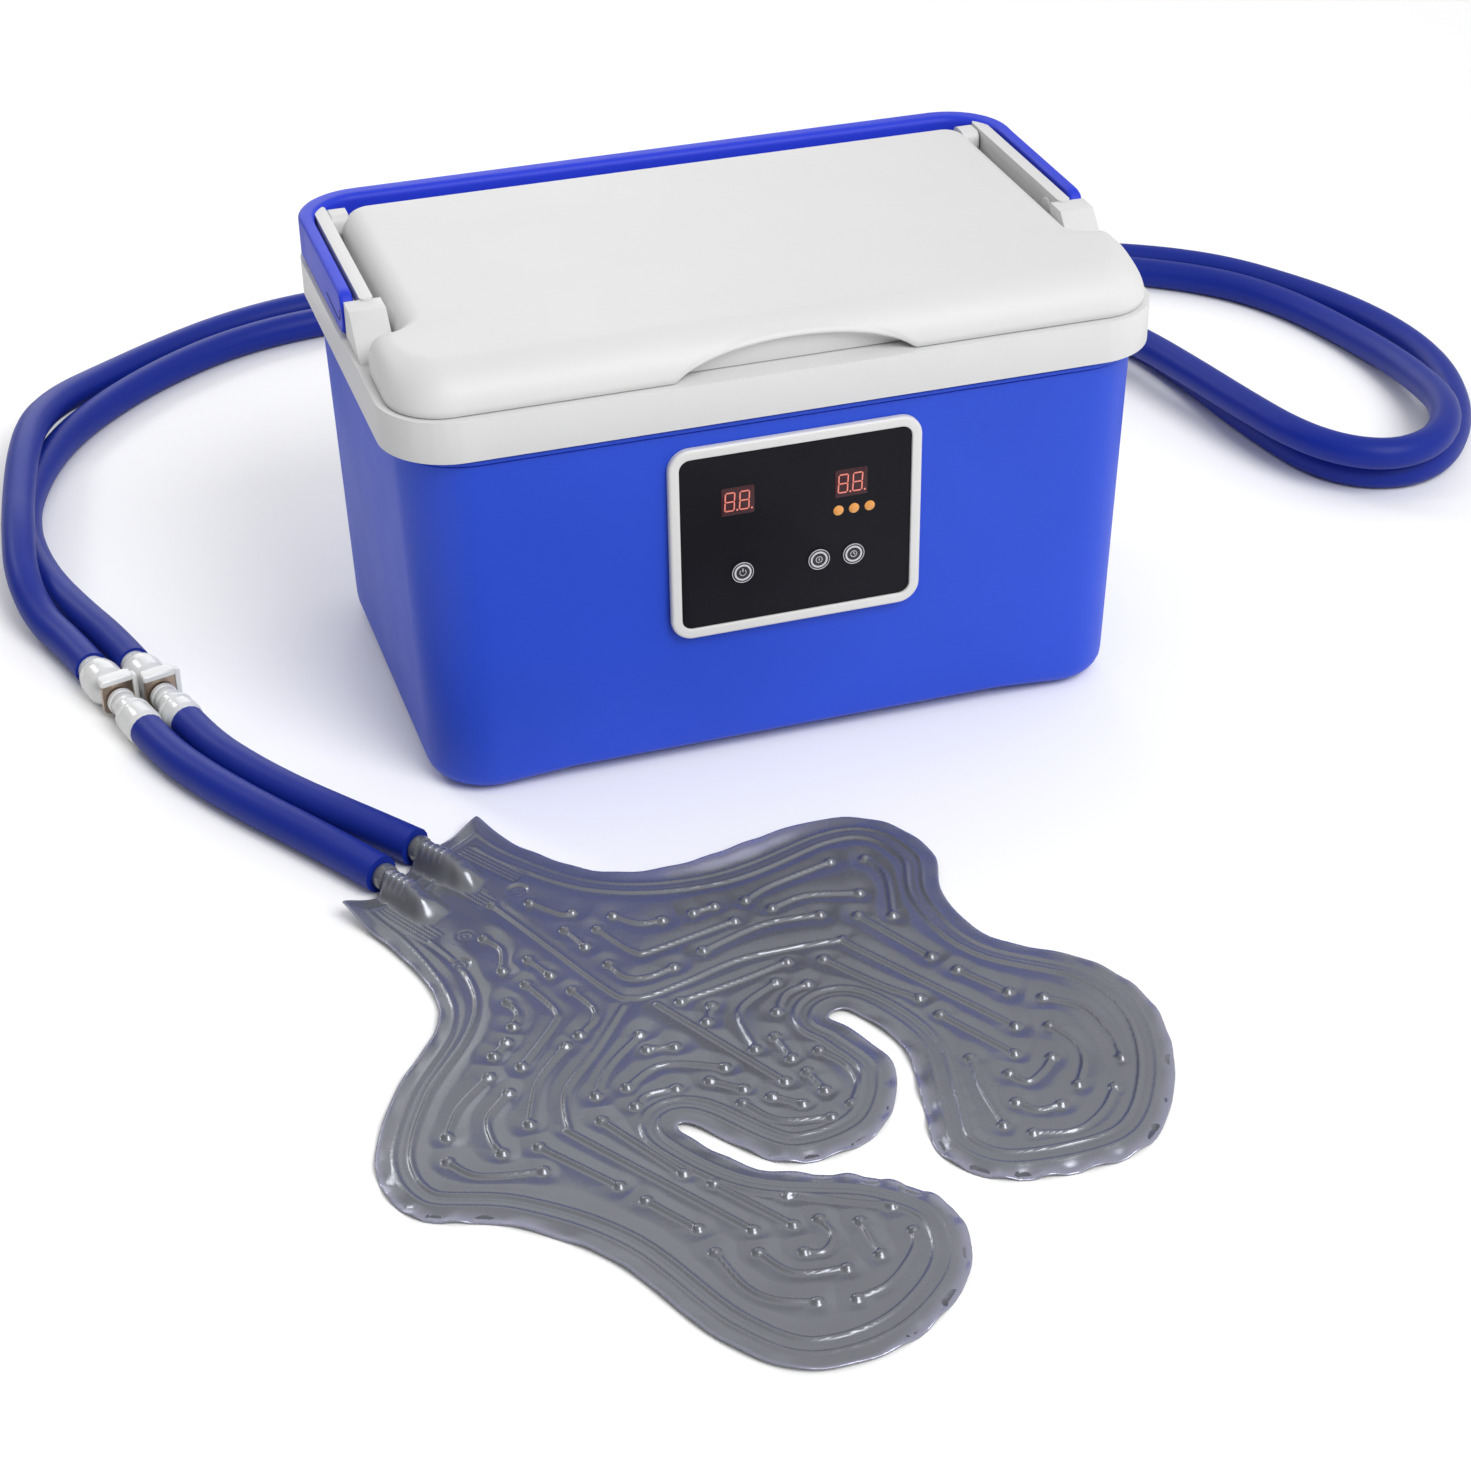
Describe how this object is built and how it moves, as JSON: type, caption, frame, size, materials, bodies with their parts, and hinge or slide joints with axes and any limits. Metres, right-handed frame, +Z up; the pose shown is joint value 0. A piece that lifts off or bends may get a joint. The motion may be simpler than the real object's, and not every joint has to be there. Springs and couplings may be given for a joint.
{
  "type": "cold therapy unit with compression pad",
  "caption": "Insulated ice-water box with control panel, pump, twin hoses, quick couplings and a welded cold compression pad.",
  "frame": {"origin": "centre of the box's base, on the floor plane that its rubber feet rest on", "axes": "+X to the right of somebody facing the control panel, +Y towards the back of the box, +Z up"},
  "size_m": [0.8195, 0.9454, 0.2135],
  "materials": {
    "blue_shell": "smooth moulded blue",
    "blue_handle": "smooth moulded blue",
    "white_plastic": "smooth moulded white",
    "foam": "rigid foam",
    "white_tank": "food-grade white",
    "black_rubber": "soft rubber",
    "grey_gasket": "soft seal",
    "steel": "bright",
    "bezel_grey": "satin light grey",
    "panel_black": "glossy black overlay",
    "display_red": "dark red window with lit segments",
    "key_grey": "black key with a pale ring",
    "amber_lens": "amber lens",
    "board_green": "glass-fibre board",
    "black_plastic": "moulded black",
    "copper": "enamelled winding",
    "ferrite": "sintered magnet",
    "hose_blue": "insulated hose, matte dark blue",
    "fitting_white": "moulded white acetal",
    "latch_steel": "brownish sprung steel",
    "pad_grey": "welded satin film, gunmetal grey",
    "barb_clear": "smoky moulded barb"
  },
  "bodies": {
    "cooler": {"outer_shell": "blue_shell", "foam_insulation": "foam", "inner_tank": "white_tank", "collar": "white_plastic", "rubber_feet": "black_rubber", "handle_pins": "steel", "panel_bezel": "bezel_grey", "panel_plate": "panel_black", "display_left": "display_red", "display_right": "display_red", "indicator_leds": "amber_lens", "tact_switches": "black_plastic", "control_board": "board_green", "board_screws": "steel", "pump_strainer": "black_plastic", "pump_housing": "black_plastic", "motor_coil": "copper", "bulkhead_supply": "fitting_white", "bulkhead_return": "fitting_white", "hose_gland": "black_plastic", "dc_jack": "black_plastic", "temperature_probe": "steel", "main_hose_supply": "hose_blue", "main_hose_return": "hose_blue", "coupling_socket_a": "fitting_white", "coupling_socket_b": "fitting_white"},
    "lid": {"lid_shell": "white_plastic", "lid_liner": "white_tank", "lid_insulation": "foam", "lid_gasket": "grey_gasket", "hinge_pins": "steel"},
    "carry_handle": {"handle": "blue_handle"},
    "pump_rotor": {"impeller": "fitting_white", "impeller_shaft": "steel", "motor_magnet": "ferrite"},
    "wrap": {"pad": "pad_grey", "pad_barb_a": "barb_clear", "pad_barb_b": "barb_clear", "pad_hose_a": "hose_blue", "pad_hose_b": "hose_blue", "coupling_plug_a": "fitting_white", "coupling_plug_b": "fitting_white", "hose_sleeve_a": "fitting_white", "hose_sleeve_b": "fitting_white"},
    "key_power_cap": {"key_power": "key_grey"},
    "key_start_cap": {"key_start": "key_grey"},
    "key_timer_cap": {"key_timer": "key_grey"},
    "latch_a": {"coupling_latch_a": "latch_steel"},
    "latch_b": {"coupling_latch_b": "latch_steel"}
  },
  "joints": [
    {"name": "lid_hinge", "type": "hinge", "parent": "cooler", "child": "lid", "pos_m": [0, 0.086, 0.206], "axis": [-1, 0, 0], "range_deg": [0, 100]},
    {"name": "handle_swing", "type": "hinge", "parent": "cooler", "child": "carry_handle", "pos_m": [0, -0.004, 0.203], "axis": [1, 0, 0], "range_deg": [0, 90]},
    {"name": "wrap_release", "type": "slide", "parent": "cooler", "child": "wrap", "axis": [0.2586, -0.966, 0], "range_m": [0, 0.035]},
    {"name": "pump_spin", "type": "hinge", "parent": "cooler", "child": "pump_rotor", "pos_m": [0.096, 0.022, 0.04], "axis": [0, 0, 1], "continuous": true},
    {"name": "key_power_press", "type": "slide", "parent": "cooler", "child": "key_power_cap", "axis": [0, 1, 0], "range_m": [0, 0.0005], "stiffness_N_per_m": 800},
    {"name": "key_start_press", "type": "slide", "parent": "cooler", "child": "key_start_cap", "axis": [0, 1, 0], "range_m": [0, 0.0005], "stiffness_N_per_m": 800},
    {"name": "key_timer_press", "type": "slide", "parent": "cooler", "child": "key_timer_cap", "axis": [0, 1, 0], "range_m": [0, 0.0005], "stiffness_N_per_m": 800},
    {"name": "latch_a_press", "type": "slide", "parent": "cooler", "child": "latch_a", "axis": [0, 0, -1], "range_m": [0, 0.002], "stiffness_N_per_m": 600},
    {"name": "latch_b_press", "type": "slide", "parent": "cooler", "child": "latch_b", "axis": [0, 0, -1], "range_m": [0, 0.002], "stiffness_N_per_m": 600}
  ]
}
